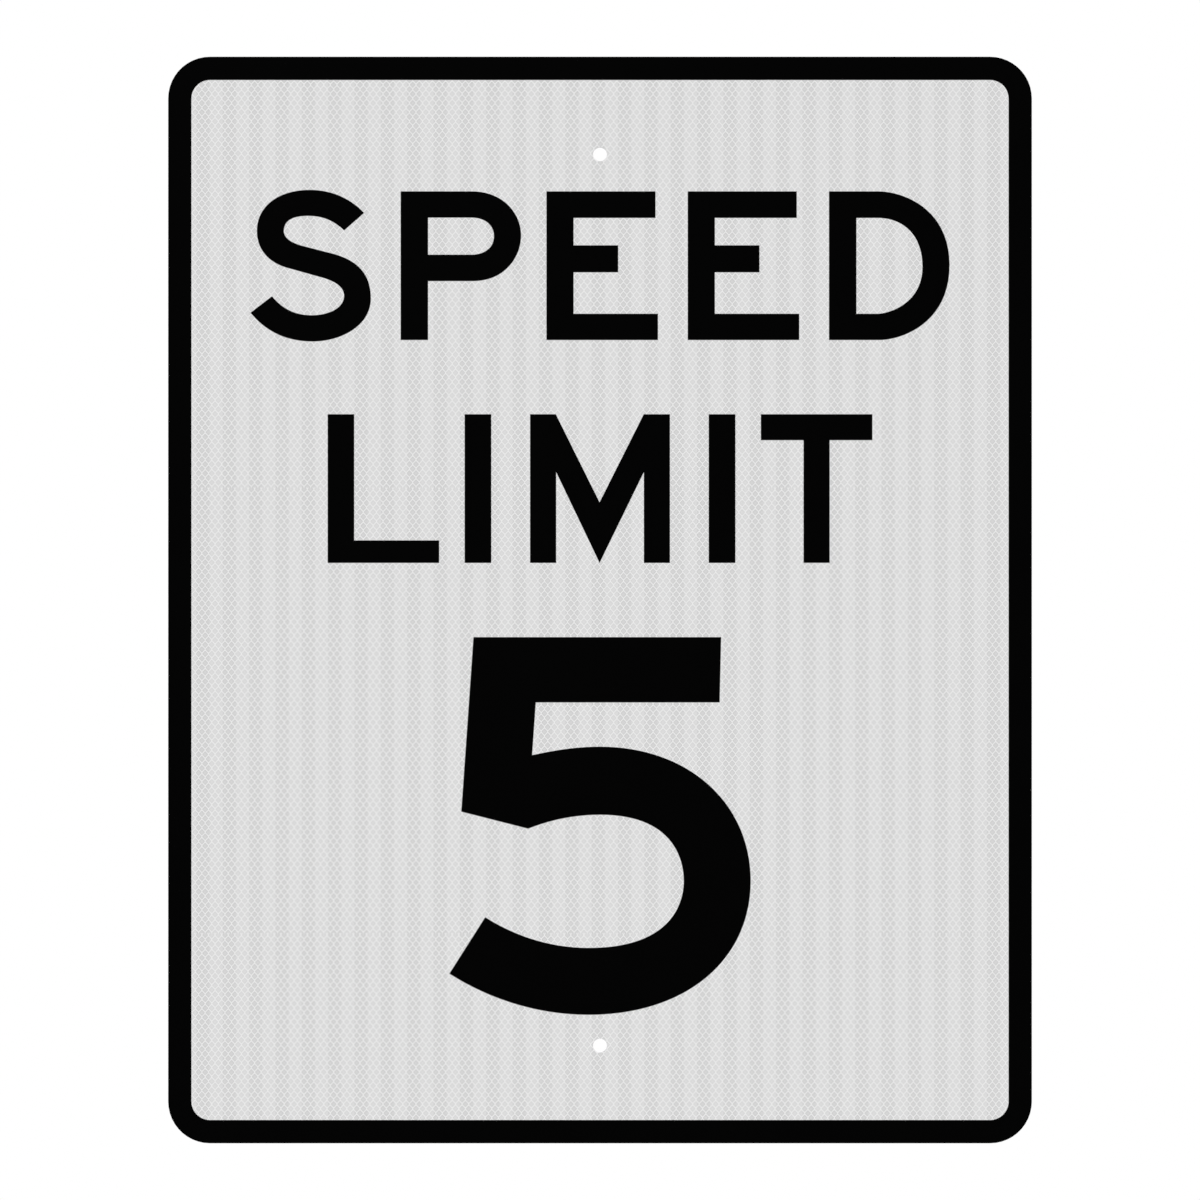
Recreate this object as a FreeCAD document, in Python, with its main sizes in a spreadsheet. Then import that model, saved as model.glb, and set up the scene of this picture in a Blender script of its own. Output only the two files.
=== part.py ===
import FreeCAD, Part
import math
import os
import Sketcher

# Speed limit sign. A punched aluminium blank is faced with white prismatic sheeting, and the
# black border and the numeral lie on the sheeting as cut film. The sign stands upright and
# faces -Y. The origin is on its back face, halfway between the two bolt holes, which is also
# the middle of the panel. Lengths are in millimetres, angles in degrees.

document = FreeCAD.newDocument("SpeedLimitSign")
sheet = document.addObject("Spreadsheet::Sheet", "Sizes")

# Each size is written once here, and every sketch and feature reads it by its name.
SIZES = {
    # Panel: standard artwork for a 24 by 30 inch sign, as far as the outside of its border.
    "panel_width": 590.55,
    "panel_height": 742.95,
    "corner_radius": 28.575,
    "blank_thickness": 2.032,
    # Flat rubbed on the sheared back edge, after punching.
    "edge_break": 0.3,
    # Bolt holes, one above the other on the centre line.
    "hole_pitch": 609.6,
    "hole_diameter": 9.525,
    # Films.
    "sheeting_thickness": 0.45,
    "film_thickness": 0.08,
    "border_width": 15.875,
    # Numeral: heights are from its baseline, distances across from the panel's middle.
    "baseline_drop": 279.4,
    "numeral_height": 254.0,
    "stroke_width": 45.7,
    # The bowl is a little heavier at its crown.
    "crown_stroke": 46.5,
    "flag_depth": 44.6,
    "flag_left": 86.5,
    "flag_right": 82.8,
    "flag_lean": 1.3,
    "stem_lean": 4.0,
    "heel_height": 134.7,
    "heel_slope": 14.3,
    "stem_foot_height": 173.3,
    "bowl_top": 179.1,
    "bowl_reach": 103.0,
    "bowl_level": 87.3,
    "bowl_overshoot": 4.2,
    "trough_offset": 7.7,
    "tail_reach": 103.0,
    "tail_height": 23.9,
    "tail_angle": 32.4,
    # Directions in which the bowl leaves the stem, outside and inside.
    "shoulder_angle": 12.1,
    "notch_angle": 21.8,
    # Lengths of the curves' handles, as shares of the stretch that each curve spans.
    "bowl_fullness_ratio": 0.583,
    "trough_fullness_ratio": 0.595,
    "counter_across_ratio": 0.9,
    "counter_up_ratio": 0.288,
    "level_handle_ratio": 0.418,
    "end_handle_ratio": 0.239,
}

for row, (alias, value) in enumerate(SIZES.items(), start=1):
    sheet.set(f"A{row}", alias)
    sheet.set(f"B{row}", str(value))
    sheet.setAlias(f"B{row}", alias)
document.recompute()

CENTRE = 3
START = 1
END = 2
ORIGIN = (-1, START)


def new_body(name):
    """An empty body whose label also names its file."""
    body = document.addObject("PartDesign::Body", name)
    body.Label = name
    return body


def front_sketch(body, name, stand_off):
    """A sketch seen from the front, on the body's own XZ plane moved forward by stand_off."""
    plane = next(item for item in body.Origin.OriginFeatures if item.Role == "XZ_Plane")
    sketch = body.newObject("Sketcher::SketchObject", name)
    sketch.AttachmentSupport = (plane, [""])
    sketch.MapMode = "FlatFace"
    sketch.setExpression("AttachmentOffset.Base.z", stand_off)
    return sketch


def relate(sketch, kind, *places):
    """A constraint without a size."""
    sketch.addConstraint(Sketcher.Constraint(kind, *places))


def dimension(sketch, kind, places, size):
    """A constraint whose size follows an expression on the sheet."""
    value = float(sheet.evalExpression(size))
    index = sketch.addConstraint(Sketcher.Constraint(kind, *places, value))
    sketch.setExpression(f"Constraints[{index}]", size)


def rounded_rectangle(sketch, width, height, radius):
    """A rectangle about the sketch's origin, with four equal arcs at its corners."""
    half_width = sheet.evalExpression(width) / 2
    half_height = sheet.evalExpression(height) / 2
    arc_radius = sheet.evalExpression(radius)
    across = half_width - arc_radius
    up = half_height - arc_radius
    # Anticlockwise from the bottom side. Each side is followed by the arc that it runs into.
    sides = [
        ((-across, -half_height), (across, -half_height)),
        ((half_width, -up), (half_width, up)),
        ((across, half_height), (-across, half_height)),
        ((-half_width, up), (-half_width, -up)),
    ]
    arc_centres = [(across, -up), (across, up), (-across, up), (-across, -up)]
    lines = []
    arcs = []
    for quarter, (side, arc_centre) in enumerate(zip(sides, arc_centres)):
        start, end = [FreeCAD.Vector(*corner, 0) for corner in side]
        lines.append(sketch.addGeometry(Part.LineSegment(start, end), False))
        circle = Part.Circle(FreeCAD.Vector(*arc_centre, 0), FreeCAD.Vector(0, 0, 1), arc_radius)
        from_angle = math.radians(90 * (quarter - 1))
        to_angle = math.radians(90 * quarter)
        arcs.append(sketch.addGeometry(Part.ArcOfCircle(circle, from_angle, to_angle), False))
    bottom, right, top, left = lines
    for line, arc, next_line in zip(lines, arcs, [right, top, left, bottom]):
        relate(sketch, "Tangent", line, END, arc, START)
        relate(sketch, "Tangent", arc, END, next_line, START)
    relate(sketch, "Horizontal", bottom)
    relate(sketch, "Vertical", right)
    relate(sketch, "Horizontal", top)
    relate(sketch, "Vertical", left)
    for arc in arcs[1:]:
        relate(sketch, "Equal", arcs[0], arc)
    relate(sketch, "Symmetric", arcs[0], CENTRE, arcs[2], CENTRE, *ORIGIN)
    dimension(sketch, "Radius", (arcs[0],), radius)
    dimension(sketch, "DistanceX", (left, START, right, START), width)
    dimension(sketch, "DistanceY", (bottom, START, top, START), height)


def pad(body, sketch, name, thickness):
    """The sketch made a plate, thickened towards the front."""
    feature = body.newObject("PartDesign::Pad", name)
    feature.Profile = sketch
    feature.setExpression("Length", thickness)
    document.recompute()
    return feature


def punch_bolt_holes(body, name, stand_off, thickness):
    """The two bolt holes, cut through a plate whose back lies stand_off in front of the origin."""
    sketch = front_sketch(body, f"{name}_sketch", stand_off)
    for side, size in ((1, "Sizes.hole_pitch / 2"), (-1, "-Sizes.hole_pitch / 2")):
        centre = FreeCAD.Vector(0, side * sheet.hole_pitch / 2, 0)
        circle = Part.Circle(centre, FreeCAD.Vector(0, 0, 1), sheet.hole_diameter / 2)
        hole = sketch.addGeometry(circle, False)
        relate(sketch, "PointOnObject", hole, CENTRE, -2)
        dimension(sketch, "DistanceY", (*ORIGIN, hole, CENTRE), size)
        dimension(sketch, "Diameter", (hole,), "Sizes.hole_diameter")
    volume_before = body.Shape.Volume
    pocket = body.newObject("PartDesign::Pocket", name)
    pocket.Profile = sketch
    pocket.Reversed = True
    pocket.setExpression("Length", thickness)
    document.recompute()
    if body.Shape.Volume >= volume_before:
        raise RuntimeError(f"{name} cuts nothing out of {body.Label}")


# Sign blank: one sheet of aluminium, sheared to size, its corners rounded by the punch.
sign_blank = new_body("sign_blank")
blank_outline = front_sketch(sign_blank, "blank_outline", "0")
rounded_rectangle(blank_outline, "Sizes.panel_width", "Sizes.panel_height", "Sizes.corner_radius")
blank_plate = pad(sign_blank, blank_outline, "blank_plate", "Sizes.blank_thickness")

# Only the back edge is broken, so that the face stays flat up to its rim.
back_rim = []
for number, edge in enumerate(blank_plate.Shape.Edges, start=1):
    if edge.BoundBox.YMin > -sheet.blank_thickness / 2:
        back_rim.append(f"Edge{number}")
broken_edge = sign_blank.newObject("PartDesign::Chamfer", "broken_edge")
broken_edge.Base = (blank_plate, back_rim)
broken_edge.setExpression("Size", "Sizes.edge_break")
document.recompute()
punch_bolt_holes(sign_blank, "blank_bolt_holes", "0", "Sizes.blank_thickness")

# Reflective sheeting: laid over the whole face and punched together with the blank.
reflective_sheeting = new_body("reflective_sheeting")
sheeting_outline = front_sketch(reflective_sheeting, "sheeting_outline", "Sizes.blank_thickness")
rounded_rectangle(sheeting_outline, "Sizes.panel_width", "Sizes.panel_height", "Sizes.corner_radius")
pad(reflective_sheeting, sheeting_outline, "sheeting_layer", "Sizes.sheeting_thickness")
punch_bolt_holes(
    reflective_sheeting, "sheeting_bolt_holes", "Sizes.blank_thickness", "Sizes.sheeting_thickness"
)

# Both black films lie on the sheeting's face.
FACE = "Sizes.blank_thickness + Sizes.sheeting_thickness"

# Border: one ring of even width, whose inner corners share the outer corners' centres.
border_film = new_body("border_film")
border_outline = front_sketch(border_film, "border_outline", FACE)
rounded_rectangle(border_outline, "Sizes.panel_width", "Sizes.panel_height", "Sizes.corner_radius")
rounded_rectangle(
    border_outline,
    "Sizes.panel_width - 2 * Sizes.border_width",
    "Sizes.panel_height - 2 * Sizes.border_width",
    "Sizes.corner_radius - Sizes.border_width",
)
pad(border_film, border_outline, "border_layer", "Sizes.film_thickness")

# Numeral: a five of the wide highway style, with a flag, a leaning stem and an open bowl.
# The inner points are the outer ones moved in by the width of the stroke.
STEM_SLANT = "tan(Sizes.stem_lean)"
FLAG_SLANT = "tan(Sizes.flag_lean)"
STEM_DROP = "(Sizes.numeral_height - Sizes.heel_height)"
INNER_STEM_TOP = f"(Sizes.stroke_width - Sizes.flag_left - Sizes.flag_depth * {STEM_SLANT})"
INNER_STEM_DROP = "(Sizes.numeral_height - Sizes.flag_depth - Sizes.stem_foot_height)"
HEEL = f"(-Sizes.flag_left - {STEM_DROP} * {STEM_SLANT})"

# Named points of the outline: how far each lies across and above the middle of the baseline.
POINTS = {
    "flag_top_left": ("-Sizes.flag_left", "Sizes.numeral_height"),
    "flag_top_right": ("Sizes.flag_right", "Sizes.numeral_height"),
    "flag_bottom_right": (
        f"Sizes.flag_right - Sizes.flag_depth * {FLAG_SLANT}",
        "Sizes.numeral_height - Sizes.flag_depth",
    ),
    "stem_inner_top": (INNER_STEM_TOP, "Sizes.numeral_height - Sizes.flag_depth"),
    "shoulder": (f"{INNER_STEM_TOP} - {INNER_STEM_DROP} * {STEM_SLANT}", "Sizes.stem_foot_height"),
    "crown": ("0", "Sizes.bowl_top"),
    "side": ("Sizes.bowl_reach", "Sizes.bowl_level"),
    "trough": ("-Sizes.trough_offset", "-Sizes.bowl_overshoot"),
    "tail_outer": ("-Sizes.tail_reach", "Sizes.tail_height"),
    "tail_inner": (
        "-Sizes.tail_reach + Sizes.stroke_width * sin(Sizes.tail_angle)",
        "Sizes.tail_height + Sizes.stroke_width * cos(Sizes.tail_angle)",
    ),
    "inner_trough": ("-Sizes.trough_offset", "Sizes.stroke_width - Sizes.bowl_overshoot"),
    "inner_side": ("Sizes.bowl_reach - Sizes.stroke_width", "Sizes.bowl_level"),
    "inner_crown": ("0", "Sizes.bowl_top - Sizes.crown_stroke"),
    "notch": (
        f"{HEEL} + Sizes.stroke_width",
        "Sizes.heel_height - Sizes.stroke_width * tan(Sizes.heel_slope)",
    ),
    "heel": (HEEL, "Sizes.heel_height"),
}


def span(first, last, axis):
    """The distance from one named point to another, across (0) or up (1)."""
    return f"({POINTS[last][axis]} - ({POINTS[first][axis]}))"


def handle(point, across, up):
    """A curve's handle: its offset from the named point that it belongs to."""
    return f"{POINTS[point][0]} + {across}", f"{POINTS[point][1]} + {up}"


def level_handle(first, last, share):
    """The handle of the first point, which runs level towards the last."""
    return handle(first, f"{share} * {span(first, last, 0)}", "0")


def upright_handle(first, last, share):
    """The handle of the first point, which runs upright towards the last."""
    return handle(first, "0", f"{share} * {span(first, last, 1)}")


def sloping_handle(first, last, angle):
    """The handle of a stroke's end, which rises at an angle towards the last point."""
    reach = f"Sizes.end_handle_ratio * {span(first, last, 0)}"
    return handle(first, reach, f"{reach} * tan({angle})")


def bowl_quarter(level_point, upright_point, across, up):
    """The two handles of a quarter of the bowl, the level point's first."""
    first = level_handle(level_point, upright_point, across)
    second = upright_handle(upright_point, level_point, up)
    return first, second


UPPER = "Sizes.bowl_fullness_ratio"
LOWER = "Sizes.trough_fullness_ratio"
ACROSS = "Sizes.counter_across_ratio"
UP = "Sizes.counter_up_ratio"
LEVEL = "Sizes.level_handle_ratio"
crown_right = bowl_quarter("crown", "side", UPPER, UPPER)
trough_right = bowl_quarter("trough", "side", LOWER, LOWER)
inner_crown_right = bowl_quarter("inner_crown", "inner_side", ACROSS, UP)
inner_trough_right = bowl_quarter("inner_trough", "inner_side", ACROSS, UP)

# The outline, clockwise from the flag's top left: where each stretch starts and, if it is a
# curve, its two handles.
STRETCHES = [
    ("flag_top_left", None),
    ("flag_top_right", None),
    ("flag_bottom_right", None),
    ("stem_inner_top", None),
    (
        "shoulder",
        (
            sloping_handle("shoulder", "crown", "Sizes.shoulder_angle"),
            level_handle("crown", "shoulder", LEVEL),
        ),
    ),
    ("crown", crown_right),
    ("side", (trough_right[1], trough_right[0])),
    (
        "trough",
        (
            level_handle("trough", "tail_outer", LEVEL),
            sloping_handle("tail_outer", "trough", "-Sizes.tail_angle"),
        ),
    ),
    ("tail_outer", None),
    (
        "tail_inner",
        (
            sloping_handle("tail_inner", "inner_trough", "-Sizes.tail_angle"),
            level_handle("inner_trough", "tail_inner", LEVEL),
        ),
    ),
    ("inner_trough", inner_trough_right),
    ("inner_side", (inner_crown_right[1], inner_crown_right[0])),
    (
        "inner_crown",
        (
            level_handle("inner_crown", "notch", LEVEL),
            sloping_handle("notch", "inner_crown", "Sizes.notch_angle"),
        ),
    ),
    ("notch", None),
    ("heel", None),
]


def place(across, up):
    """A place in the numeral's sketch, whose origin is the middle of the baseline."""
    return FreeCAD.Vector(sheet.evalExpression(across), sheet.evalExpression(up), 0)


def hold(sketch, geometry, position, across, up):
    """A point of the outline, held to the sheet across and up."""
    dimension(sketch, "DistanceX", (*ORIGIN, geometry, position), across)
    dimension(sketch, "DistanceY", (*ORIGIN, geometry, position), up)


numeral_film = new_body("numeral_film")
numeral_outline = front_sketch(numeral_film, "numeral_outline", FACE)
numeral_outline.setExpression("AttachmentOffset.Base.y", "-Sizes.baseline_drop")
pieces = []
for index, (name, handles) in enumerate(STRETCHES):
    following = STRETCHES[(index + 1) % len(STRETCHES)][0]
    ends = [place(*POINTS[name]), place(*POINTS[following])]
    if handles is None:
        pieces.append(numeral_outline.addGeometry(Part.LineSegment(*ends), False))
        continue
    poles = [ends[0], place(*handles[0]), place(*handles[1]), ends[1]]
    curve = Part.BSplineCurve(poles, None, None, False, 3, None, False)
    piece = numeral_outline.addGeometry(curve, False)
    numeral_outline.exposeInternalGeometry(piece)
    # The circles that stand for a curve's four poles come straight after the curve.
    for pole, place_of_handle in ((piece + 2, handles[0]), (piece + 3, handles[1])):
        hold(numeral_outline, pole, CENTRE, *place_of_handle)
    pieces.append(piece)
for index, (name, handles) in enumerate(STRETCHES):
    relate(numeral_outline, "Coincident", pieces[index - 1], END, pieces[index], START)
    hold(numeral_outline, pieces[index], START, *POINTS[name])
pad(numeral_film, numeral_outline, "numeral_layer", "Sizes.film_thickness")

document.recompute()
for item in document.Objects:
    if "Invalid" in item.State or "Error" in item.State:
        raise RuntimeError(f"{item.Label} failed: {item.State}")

os.makedirs("parts", exist_ok=True)
for body in (sign_blank, reflective_sheeting, border_film, numeral_film):
    if body.Shape.isNull() or not body.Shape.isValid() or len(body.Shape.Solids) != 1:
        raise RuntimeError(f"{body.Label} isn't one valid solid")
    body.Shape.exportStep(f"parts/{body.Label}.step")
    print(body.Label, round(body.Shape.Volume, 1), body.Shape.BoundBox)
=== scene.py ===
import math

import bmesh
import bpy
from mathutils import Matrix, Vector


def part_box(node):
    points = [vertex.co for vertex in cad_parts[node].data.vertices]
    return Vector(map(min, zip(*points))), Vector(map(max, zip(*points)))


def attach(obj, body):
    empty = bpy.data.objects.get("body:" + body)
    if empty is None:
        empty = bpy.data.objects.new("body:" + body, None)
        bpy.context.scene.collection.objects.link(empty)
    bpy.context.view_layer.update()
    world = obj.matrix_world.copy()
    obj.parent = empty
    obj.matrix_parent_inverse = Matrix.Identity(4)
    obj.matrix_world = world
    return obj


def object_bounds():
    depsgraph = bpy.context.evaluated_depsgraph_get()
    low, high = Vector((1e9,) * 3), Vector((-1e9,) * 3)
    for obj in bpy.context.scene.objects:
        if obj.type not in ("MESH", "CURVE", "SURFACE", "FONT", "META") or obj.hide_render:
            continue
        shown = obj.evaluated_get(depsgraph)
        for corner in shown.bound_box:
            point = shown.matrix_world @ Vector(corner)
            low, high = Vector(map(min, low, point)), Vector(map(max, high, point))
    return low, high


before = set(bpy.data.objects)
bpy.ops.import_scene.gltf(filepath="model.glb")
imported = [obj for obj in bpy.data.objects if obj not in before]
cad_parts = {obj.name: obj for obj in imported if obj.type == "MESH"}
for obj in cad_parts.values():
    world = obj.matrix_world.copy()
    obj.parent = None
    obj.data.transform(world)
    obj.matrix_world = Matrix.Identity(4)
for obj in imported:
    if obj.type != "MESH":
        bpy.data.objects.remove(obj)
cad_low, cad_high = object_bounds()

# Sign blank
# A flat blank of rolled aluminium, 2 mm thick, with rounded corners and two punched bolt holes.
# Its faces keep the fine grain of the rolling mill, and its edge has the bright and the torn band
# that a punch leaves. The post's two bolts hold it.
MM = 0.001


class Signal:
    """One socket of a shader. Arithmetic on it adds the Math nodes that work the sum out."""

    def __init__(self, tree, socket=None):
        self.tree = tree
        self.socket = socket

    def node(self, kind, settings, values, output=0):
        """Adds any other node: its settings first, then the values or links of its sockets."""
        made = self.tree.nodes.new(kind)
        for name, setting in settings.items():
            setattr(made, name, setting)
        for name, value in values.items():
            if isinstance(value, Signal):
                self.tree.links.new(value.socket, made.inputs[name])
            else:
                made.inputs[name].default_value = value
        return Signal(self.tree, made.outputs[output]) if made.outputs else None

    def math(self, operation, *values):
        """The result of one Math node on these values."""
        return self.node("ShaderNodeMath", {"operation": operation}, dict(enumerate(values)))

    def __add__(self, other):
        return self.math("ADD", self, other)

    def __sub__(self, other):
        return self.math("SUBTRACT", self, other)

    def __mul__(self, other):
        return self.math("MULTIPLY", self, other)

    def __truediv__(self, other):
        return self.math("DIVIDE", self, other)

    def __rsub__(self, other):
        return self.math("SUBTRACT", other, self)

    __radd__ = __add__
    __rmul__ = __mul__

    def larger(self, other):
        return self.math("MAXIMUM", self, other)

    def smaller(self, other):
        return self.math("MINIMUM", self, other)

    def below(self, limit):
        """1 where this value is under the limit, and 0 elsewhere."""
        return self.math("LESS_THAN", self, limit)

    def absolute(self):
        return self.math("ABSOLUTE", self)

    def fraction(self):
        return self.math("FRACT", self)

    def ramp(self, start, end):
        """Eases from 0 where this value is at start to 1 where it is at end."""
        limits = {"Value": self, "From Min": start, "From Max": end}
        return self.node("ShaderNodeMapRange", {"interpolation_type": "SMOOTHSTEP"}, limits)

    def off_whole(self):
        """How far this value is from the nearest whole number, 0 to 0.5."""
        return 0.5 - (self.fraction() - 0.5).absolute()

    def blend(self, first, second):
        """The colour between two colours where this value goes from 0 to 1."""
        share_in, first_in, second_in, colour_out = 0, 6, 7, 2
        values = {share_in: self, first_in: first, second_in: second}
        return self.node("ShaderNodeMix", {"data_type": "RGBA"}, values, colour_out)

    def noise(self, size, detail=2.0):
        """Smooth noise from about 0 to 1 at this point, in bumps of this size across, deep and up."""
        scale = [1.0 / length for length in size]
        point = self.node("ShaderNodeMapping", {}, {"Vector": self, "Scale": scale})
        return self.node("ShaderNodeTexNoise", {}, {"Vector": point, "Scale": 1.0, "Detail": detail})


def new_finish(name):
    """A material with no nodes yet, and the signal that its nodes start from."""
    material = bpy.data.materials.new(name)
    material.use_nodes = True
    material.node_tree.nodes.clear()
    return material, Signal(material.node_tree)


def apply_finish(piece, material):
    """Puts one material on the whole of a piece."""
    piece.data.materials.clear()
    piece.data.materials.append(material)


def rolled_aluminium(thickness):
    """Bare aluminium: rolling grain up the faces, and a bright and a torn band round the cut edges."""
    dull_face = (0.34, 0.345, 0.35, 1.0)
    bright_face = (0.52, 0.525, 0.53, 1.0)
    bright_cut = (0.36, 0.365, 0.37, 1.0)
    torn_cut = (0.25, 0.255, 0.26, 1.0)
    torn_end = 0.55 * thickness
    bright_start = 0.7 * thickness
    skin = 0.02 * MM
    streak_size = (7 * MM, 1.0, 420 * MM)
    grain_size = (0.45 * MM, 1.0, 24 * MM)
    shear_size = (0.35 * MM, 5 * MM, 0.35 * MM)
    material, start = new_finish("rolled_aluminium")
    place = start.node("ShaderNodeTexCoord", {}, {}, "Object")
    depth = start.node("ShaderNodeSeparateXYZ", {}, {0: place}, "Y") * -1.0
    edge = depth.ramp(skin, 2 * skin)
    streaks = place.noise(streak_size, 3.0)
    grain = place.noise(grain_size, 3.0)
    shear = place.noise(shear_size)
    torn = edge * (1.0 - depth.ramp(torn_end, bright_start))
    tone = 0.5 * streaks + 0.5 * grain
    face_colour = tone.blend(dull_face, bright_face)
    edge_colour = torn.blend(bright_cut, torn_cut)
    face_rough = 0.30 + 0.10 * streaks + 0.10 * grain
    edge_rough = 0.48 + 0.10 * shear + 0.08 * torn
    relief = (1.0 - edge) * grain + edge * shear * (0.5 + torn)
    bump = start.node(
        "ShaderNodeBump", {}, {"Height": relief, "Strength": 0.35, "Distance": 0.02 * MM}, "Normal"
    )
    metal = start.node("ShaderNodeBsdfPrincipled", {}, {
        "Base Color": edge.blend(face_colour, edge_colour),
        "Metallic": 1.0,
        "Roughness": face_rough * (1.0 - edge) + edge_rough * edge,
        "Normal": bump,
    })
    start.node("ShaderNodeOutputMaterial", {}, {"Surface": metal})
    return material


sign_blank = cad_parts["sign_blank"]
apply_finish(sign_blank, rolled_aluminium(thickness=sign_blank.dimensions.y))

# Reflective sheeting
# A clear-faced plastic sheeting with tiny prisms in its back, 0.45 mm thick, stuck over the whole front.
# White seal lines hold its layers together in a lattice of six-sided cells, and the prisms turn in
# alternate upright bands, which show a shade lighter and darker. The pattern starts anew in each tile.


def grey(level):
    """A colour with the same red, green and blue."""
    return (level, level, level, 1.0)


def prismatic_sheeting():
    """White prismatic sheeting: a lattice of six-sided cells and their seal lines, under a clear face."""
    # A cell, half of one of its short upright sides, and where the lattice stands on the sign.
    cell_width = 4.5045 * MM
    cell_height = 6.251 * MM
    upright_half = 0.39 * MM
    lattice_across = 0.30 * MM
    lattice_up = 3.53 * MM
    # Half widths of the seal lines with the fade beside them, and the rim that shades a cell.
    slant_seal = 0.30 * MM
    upright_seal = 0.19 * MM
    seal_edge = 0.12 * MM
    rim_start = 0.69 * MM
    rim_end = 1.05 * MM
    # The tiles that the lattice starts anew in, and the bands, light and dark in turn.
    tile_height = 304.74 * MM
    tile_seam = 76.84 * MM
    band_pitch = 4 * cell_width
    dark_band_middle = -1.2 * MM
    dark_band_share = 0.497
    band_edge = 0.1 * MM
    # A light and a dark cell, at the rim and in the middle, and the two kinds of line.
    light_rim = grey(0.668)
    light_middle = grey(0.710)
    dark_rim = grey(0.598)
    dark_middle = grey(0.662)
    slant_line = grey(0.823)
    upright_line = grey(0.856)
    cast_size = (90 * MM, 1.0, 140 * MM)
    material, start = new_finish("prismatic_sheeting")
    place = start.node("ShaderNodeTexCoord", {}, {}, "Object")
    x = start.node("ShaderNodeSeparateXYZ", {}, {0: place}, "X")
    z = start.node("ShaderNodeSeparateXYZ", {}, {0: place}, "Z")

    # Cells stand in straight columns, and every second column is half a cell higher. off_side and
    # off_level are the distances from the middle of the nearest cell of the first kind of column.
    half_width, half_height = cell_width / 2, cell_height / 2
    in_tile = ((z - tile_seam) / tile_height).fraction() * tile_height
    off_side = ((x - lattice_across) / cell_width).off_whole() * cell_width
    off_level = ((in_tile - lattice_up) / cell_height).off_whole() * cell_height
    slope = (half_height - 2 * upright_half) / half_width
    past_slant = off_level + off_side * slope - (half_height - upright_half)
    to_slant = past_slant.absolute() / math.hypot(1.0, slope)
    in_first_kind = past_slant.below(0.0)
    to_upright = off_side + in_first_kind * (half_width - 2.0 * off_side)
    slant = 1.0 - to_slant.ramp(slant_seal, slant_seal + seal_edge)
    upright = 1.0 - to_upright.ramp(upright_seal, upright_seal + seal_edge)
    inside = to_slant.smaller(to_upright).ramp(rim_start, rim_end)

    off_dark_middle = ((x - dark_band_middle) / band_pitch).off_whole()
    half_share, half_edge = dark_band_share / 2, band_edge / band_pitch / 2
    dark = 1.0 - off_dark_middle.ramp(half_share - half_edge, half_share + half_edge)

    light_cell = inside.blend(light_rim, light_middle)
    dark_cell = inside.blend(dark_rim, dark_middle)
    cell = dark.blend(light_cell, dark_cell)
    colour = upright.blend(slant.blend(cell, slant_line), upright_line)

    seal = slant.larger(upright)
    cast = place.noise(cast_size)
    rough = 0.16 + 0.10 * seal + 0.05 * cast
    relief = seal * 0.8 + 0.4 * cast
    bump = start.node(
        "ShaderNodeBump", {}, {"Height": relief, "Strength": 0.25, "Distance": 0.03 * MM}, "Normal"
    )
    plastic = start.node("ShaderNodeBsdfPrincipled", {}, {
        "Base Color": colour,
        "Roughness": rough,
        "IOR": 1.49,
        "Specular IOR Level": 0.35,
        "Normal": bump,
    })
    start.node("ShaderNodeOutputMaterial", {}, {"Surface": plastic})
    return material


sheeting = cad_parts["reflective_sheeting"]
apply_finish(sheeting, prismatic_sheeting())

# Border
# A ring of opaque black vinyl film, 5/8 inch wide, with the blank's rounded corners. It is cut in one
# piece and pressed on to the sheeting, flush with the edge of the sign.


def black_vinyl():
    """Opaque black film with a low satin gloss and the faint orange peel of a cast film."""
    darkest = grey(0.0003)
    palest = grey(0.0008)
    peel_size = (1.6 * MM, 1.0, 1.6 * MM)
    cloud_size = (60 * MM, 1.0, 60 * MM)
    material, start = new_finish("black_vinyl")
    place = start.node("ShaderNodeTexCoord", {}, {}, "Object")
    peel = place.noise(peel_size)
    cloud = place.noise(cloud_size)
    colour = (0.6 * cloud + 0.4 * peel).blend(darkest, palest)
    bump = start.node(
        "ShaderNodeBump", {}, {"Height": peel, "Strength": 0.2, "Distance": 0.02 * MM}, "Normal"
    )
    film = start.node("ShaderNodeBsdfPrincipled", {}, {
        "Base Color": colour,
        "Roughness": 0.34 + 0.08 * cloud + 0.06 * peel,
        "Specular IOR Level": 0.008,
        "Normal": bump,
    })
    start.node("ShaderNodeOutputMaterial", {}, {"Surface": film})
    return material


BLACK_FILM = black_vinyl()
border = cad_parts["border_film"]
apply_finish(border, BLACK_FILM)

# Numeral
# The ten-inch figure under the words, cut in one piece from the same black film and pressed on to the
# sheeting. Its outline is the solid's own.
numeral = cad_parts["numeral_film"]
apply_finish(numeral, BLACK_FILM)

# Words
# Two rows of four-inch road capitals, each letter cut from the same black film and stuck on its own.
# A letter's outline is a list of corners and curve points, in millimetres from its lower left corner.
FILM_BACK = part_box("border_film")[1].y
FILM_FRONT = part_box("border_film")[0].y
CAPITAL = 101.6
WIDE_LETTER = 76.2
CURVE_STEPS = 20
SAME_PLACE = 0.001 * MM


def outline_e():
    stem, foot, arm_under, arm_over, head_under = 18.5, 17.9, 46.3, 64.7, 83.5
    arm_reach, head_reach = 49.0, 74.5
    return [[
        (0, 0), (WIDE_LETTER, 0), (WIDE_LETTER, foot), (stem, foot),
        (stem, arm_under), (arm_reach, arm_under), (arm_reach, arm_over), (stem, arm_over),
        (stem, head_under), (head_reach, head_under), (head_reach, CAPITAL), (0, CAPITAL),
    ]]


def outline_l():
    stem, foot = 18.1, 15.35
    return [[(0, 0), (WIDE_LETTER, 0), (WIDE_LETTER, foot), (stem, foot), (stem, CAPITAL), (0, CAPITAL)]]


def outline_i():
    stem = 18.2
    return [[(0, 0), (stem, 0), (stem, CAPITAL), (0, CAPITAL)]]


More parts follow.
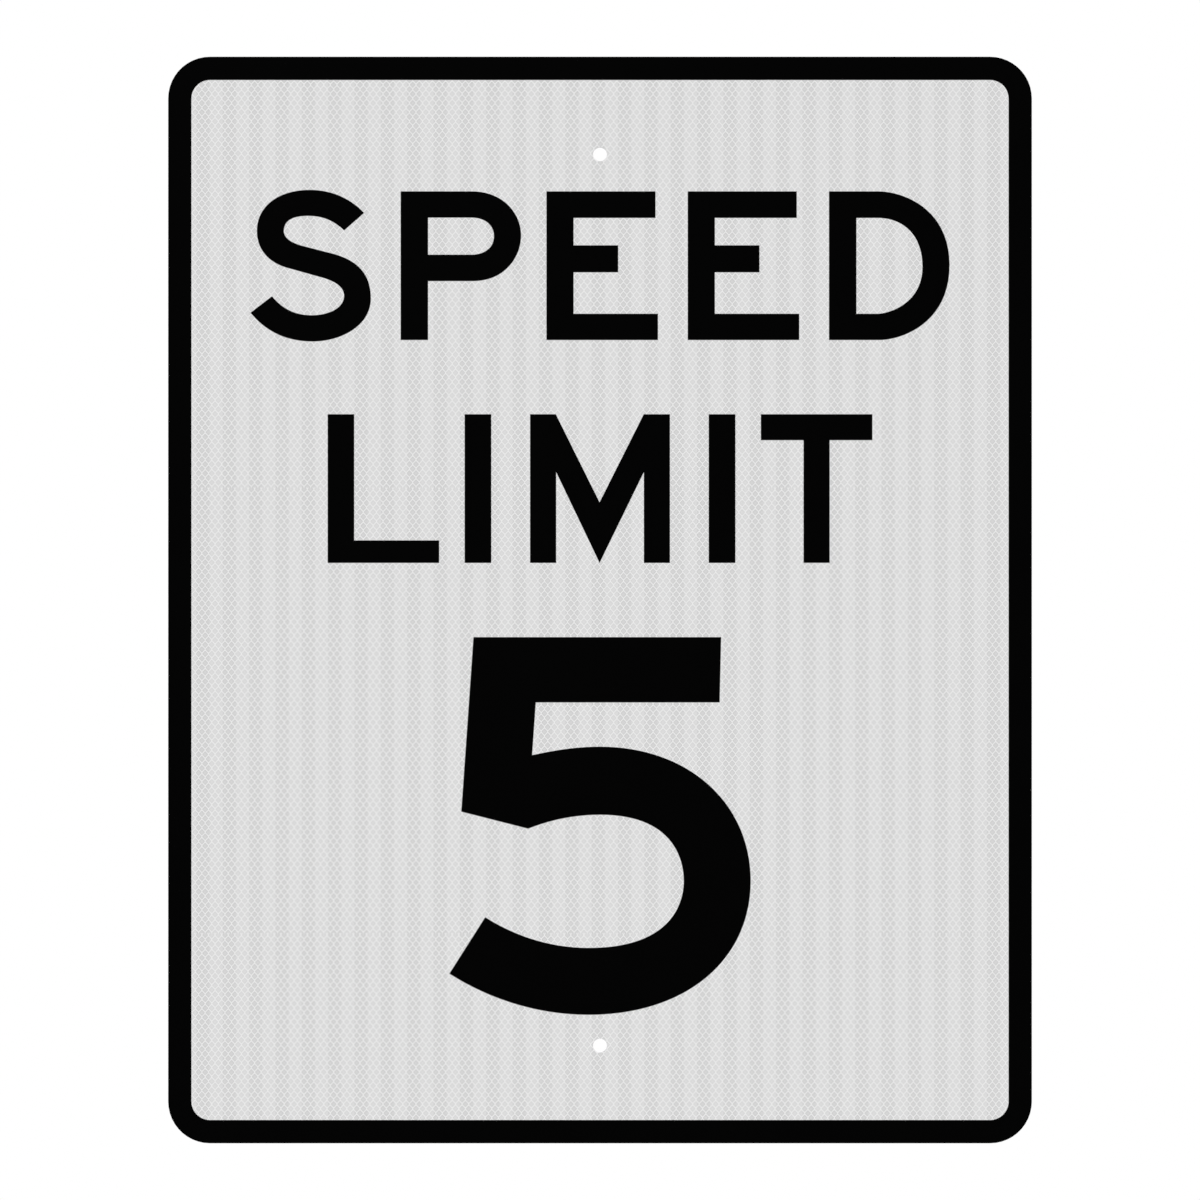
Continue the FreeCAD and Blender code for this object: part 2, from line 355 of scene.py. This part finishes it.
def outline_t():
    stem, bar_under = 17.8, 83.9
    left = (WIDE_LETTER - stem) / 2
    right = left + stem
    return [[
        (left, 0), (right, 0), (right, bar_under), (WIDE_LETTER, bar_under),
        (WIDE_LETTER, CAPITAL), (0, CAPITAL), (0, bar_under), (left, bar_under),
    ]]


def outline_m():
    width, stem, inner_top = 95.6, 17.8, 62.1
    left_arm, valley_across, right_arm, valley = 17.6, 47.5, 77.7, 41.4
    return [[
        (0, 0), (stem, 0), (stem, inner_top), (valley_across, 0),
        (width - stem, inner_top), (width - stem, 0), (width, 0), (width, CAPITAL),
        (right_arm, CAPITAL), (valley_across, valley), (left_arm, CAPITAL), (0, CAPITAL),
    ]]


def outline_p():
    stem, bowl_under, right = 18.7, 40.3, 82.3
    eye_under, eye_over, eye_right = 58.3, 83.7, 63.8
    outer = [
        (0, 0), (stem, 0), (stem, bowl_under), (49.4, bowl_under, 0, 0, 21.8),
        (right, 71.5, 90, 14.9, 15.5), (48.7, CAPITAL, 180, 21.0, 0), (0, CAPITAL),
    ]
    eye = [
        (stem, eye_under), (48.3, eye_under, 0, 0, 9.5),
        (eye_right, (eye_under + eye_over) / 2, 90, 7.45, 7.45), (48.3, eye_over, 180, 9.5, 0),
        (stem, eye_over),
    ]
    return [outer, eye]


def outline_d():
    stem, right = 18.7, 82.4
    eye_under, eye_over, eye_right = 17.9, 83.5, 63.9
    outer = [
        (0, 0), (34.4, 0, 0, 0, 15.5), (right, 51.2, 90, 39.5, 39.0),
        (33.8, CAPITAL, 180, 16.4, 0), (0, CAPITAL),
    ]
    eye = [
        (stem, eye_under), (33.0, eye_under, 0, 0, 7.2), (eye_right, 50.0, 90, 25.6, 22.1),
        (33.2, eye_over, 180, 17.2, 0), (stem, eye_over),
    ]
    return [outer, eye]


def outline_s():
    down_spine, up_spine = 344, 164
    return [[
        (40.4, 102.6, 180, 18.6, 20.7), (4.4, 74.6, 270, 17.3, 13.5),
        (24.7, 49.5, down_spine, 11.9, 0), (48.7, 42.8, down_spine, 0, 6.6),
        (64.0, 30.2, 270, 7.4, 8.6), (41.9, 16.9, 180, 11.1, 14.3),
        (14.7, 29.9, 130, 8.0, 0), (0, 18.6, 310, 0, 12.1),
        (42.5, -1.0, 0, 22.2, 19.9), (82.3, 28.3, 90, 18.1, 14.7),
        (57.4, 58.7, up_spine, 18.9, 0), (35.3, 64.4, up_spine, 0, 4.8),
        (22.8, 74.5, 90, 6.0, 6.3), (39.5, 84.9, 0, 12.1, 11.8),
        (64.0, 74.9, 316, 7.5, 0), (77.7, 86.9, 134, 0, 10.1),
    ]]


def add_outline(curve, corners):
    """Adds a closed outline. A corner is across and up. A curve point goes on with its heading in degrees
    and how far its handles reach before and after it, where 0 leaves that side straight."""
    spline = curve.splines.new("BEZIER")
    spline.bezier_points.add(len(corners) - 1)
    spline.use_cyclic_u = True
    for point, (across, up, *bend) in zip(spline.bezier_points, corners):
        heading, before, after = bend or (0, 0, 0)
        direction = Vector((math.cos(math.radians(heading)), math.sin(math.radians(heading)), 0))
        point.co = Vector((across, up, 0)) * MM
        point.handle_left_type = "FREE" if before else "VECTOR"
        point.handle_right_type = "FREE" if after else "VECTOR"
        point.handle_left = point.co - direction * before * MM
        point.handle_right = point.co + direction * after * MM


def cut_letter(name, outlines, left, baseline):
    """Cuts a letter from film: a flat filled curve as thick as the film, then its mesh, set in place."""
    curve = bpy.data.curves.new(name, "CURVE")
    curve.dimensions = "2D"
    curve.fill_mode = "BOTH"
    curve.resolution_u = CURVE_STEPS
    curve.extrude = (FILM_BACK - FILM_FRONT) / 2
    for corners in outlines:
        add_outline(curve, corners)
    drawn = bpy.data.objects.new(name + "_curve", curve)
    bpy.context.scene.collection.objects.link(drawn)
    bpy.context.view_layer.update()
    mesh = bpy.data.meshes.new_from_object(drawn)
    bpy.data.objects.remove(drawn)
    mesh.name = name
    middle_depth = (FILM_BACK + FILM_FRONT) / 2
    stand_up = Matrix.Rotation(math.radians(90), 4, "X")
    mesh.transform(Matrix.Translation((left * MM, middle_depth, baseline * MM)) @ stand_up)
    film = bmesh.new()
    film.from_mesh(mesh)
    bmesh.ops.remove_doubles(film, verts=film.verts, dist=SAME_PLACE)
    # An edge inside the front or the back may turn, so that no triangle is left without area.
    inner_edges = [
        edge for edge in film.edges
        if len({round(corner.co.y / SAME_PLACE) for face in edge.link_faces for corner in face.verts}) == 1
    ]
    bmesh.ops.beautify_fill(film, faces=film.faces, edges=inner_edges)
    bmesh.ops.recalc_face_normals(film, faces=film.faces)
    for face in film.faces:
        face.smooth = False
    film.to_mesh(mesh)
    film.free()
    letter = bpy.data.objects.new(name, mesh)
    bpy.context.scene.collection.objects.link(letter)
    apply_finish(letter, BLACK_FILM)
    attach(letter, "root")


OUTLINES = {
    "S": outline_s(), "P": outline_p(), "E": outline_e(), "D": outline_d(),
    "L": outline_l(), "I": outline_i(), "M": outline_m(), "T": outline_t(),
}


def set_word(word, baseline, gaps):
    """Sets a word's letters side by side with these gaps, in millimetres, centred on the sign."""
    outlines = [OUTLINES[letter] for letter in word]
    widths = [max(corner[0] for corner in outline[0]) for outline in outlines]
    left = -(sum(widths) + sum(gaps)) / 2
    for place, (letter, outline, width, gap) in enumerate(zip(word, outlines, widths, gaps + [0]), 1):
        cut_letter(f"letter_{word}_{place}_{letter}".lower(), outline, left, baseline)
        left += width + gap


set_word("SPEED", baseline=177.8, gaps=[20.4, 17.4, 20.4, 20.4])
set_word("LIMIT", baseline=25.4, gaps=[17.45, 26.55, 26.55, 17.45])

# Floor, lamps and background
# A plain studio: a pale floor well under the sign, two wide soft lamps that light both of its faces
# evenly, and a background that looks white, straight on and in metal, but lights the sign more dimly.
AMBIENT = 0.45
FLOOR_DROP = 0.9
FLOOR_HALF_SIDE = 4.0
FLOOR_COLOUR = 0.9
FLOOR_BOUNCE = 0.45
LAMP_STRENGTH = 2.5
LAMP_SPREAD = 75
LAMP_DISTANCE = 4.0


def seen_directly(start):
    """1 where the camera looks, straight on or by way of metal or glass, and 0 for light on a surface."""
    seen = start.node("ShaderNodeLightPath", {}, {}, "Is Camera Ray")
    for ray in ("Is Glossy Ray", "Is Transmission Ray"):
        seen = seen.larger(start.node("ShaderNodeLightPath", {}, {}, ray))
    return seen


def pale_floor():
    """Matt floor that looks pale and bounces little light."""
    material, start = new_finish("pale_floor")
    seen = seen_directly(start)
    tone = seen.blend(grey(FLOOR_BOUNCE), grey(FLOOR_COLOUR))
    matt = start.node("ShaderNodeBsdfDiffuse", {}, {"Color": tone, "Roughness": 1.0})
    start.node("ShaderNodeOutputMaterial", {}, {"Surface": matt})
    return material


floor_mesh = bpy.data.meshes.new("studio_floor")
ground = bmesh.new()
bmesh.ops.create_grid(ground, x_segments=1, y_segments=1, size=FLOOR_HALF_SIDE)
bmesh.ops.translate(ground, verts=ground.verts, vec=(0, 0, cad_low.z - FLOOR_DROP))
ground.to_mesh(floor_mesh)
ground.free()
studio_floor = bpy.data.objects.new("studio_floor", floor_mesh)
bpy.context.scene.collection.objects.link(studio_floor)
apply_finish(studio_floor, pale_floor())

world = bpy.data.worlds.new("white_studio")
world.use_nodes = True
world.node_tree.nodes.clear()
air = Signal(world.node_tree)
brightness = AMBIENT + (1.0 - AMBIENT) * seen_directly(air)
sky = air.node("ShaderNodeBackground", {}, {"Color": grey(1.0), "Strength": brightness})
air.node("ShaderNodeOutputWorld", {}, {"Surface": sky})
bpy.context.scene.world = world


def add_soft_lamp(name, azimuth, elevation):
    """A wide soft lamp far away, at this many degrees round from the front and above the horizon."""
    light = bpy.data.lights.new(name, "SUN")
    light.energy = LAMP_STRENGTH
    light.angle = math.radians(LAMP_SPREAD)
    lamp = bpy.data.objects.new(name, light)
    around, above = math.radians(azimuth), math.radians(elevation)
    towards = Vector((
        math.sin(around) * math.cos(above), -math.cos(around) * math.cos(above), math.sin(above)
    ))
    lamp.location = towards * LAMP_DISTANCE
    lamp.rotation_euler = towards.to_track_quat("Z", "Y").to_euler()
    bpy.context.scene.collection.objects.link(lamp)


add_soft_lamp("front_lamp", azimuth=-35, elevation=40)
add_soft_lamp("back_lamp", azimuth=150, elevation=40)

# Camera
# Square on to the middle of the face, from far back through a long lens, so that the sign's sides don't
# show. The frame is as wide as the photograph's, which is 820.5 mm at the sign.
PHOTO_WIDTH = 820.5 * MM
LENS = 135.0
SENSOR = 36.0
camera_data = bpy.data.cameras.new("camera")
camera_data.lens = LENS
camera_data.sensor_width = SENSOR
camera = bpy.data.objects.new("camera", camera_data)
camera.location = (0, FILM_FRONT - PHOTO_WIDTH * LENS / SENSOR, 0)
camera.rotation_euler = (math.radians(90), 0, 0)
bpy.context.scene.collection.objects.link(camera)
bpy.context.scene.camera = camera
bpy.context.scene.view_settings.view_transform = "Standard"
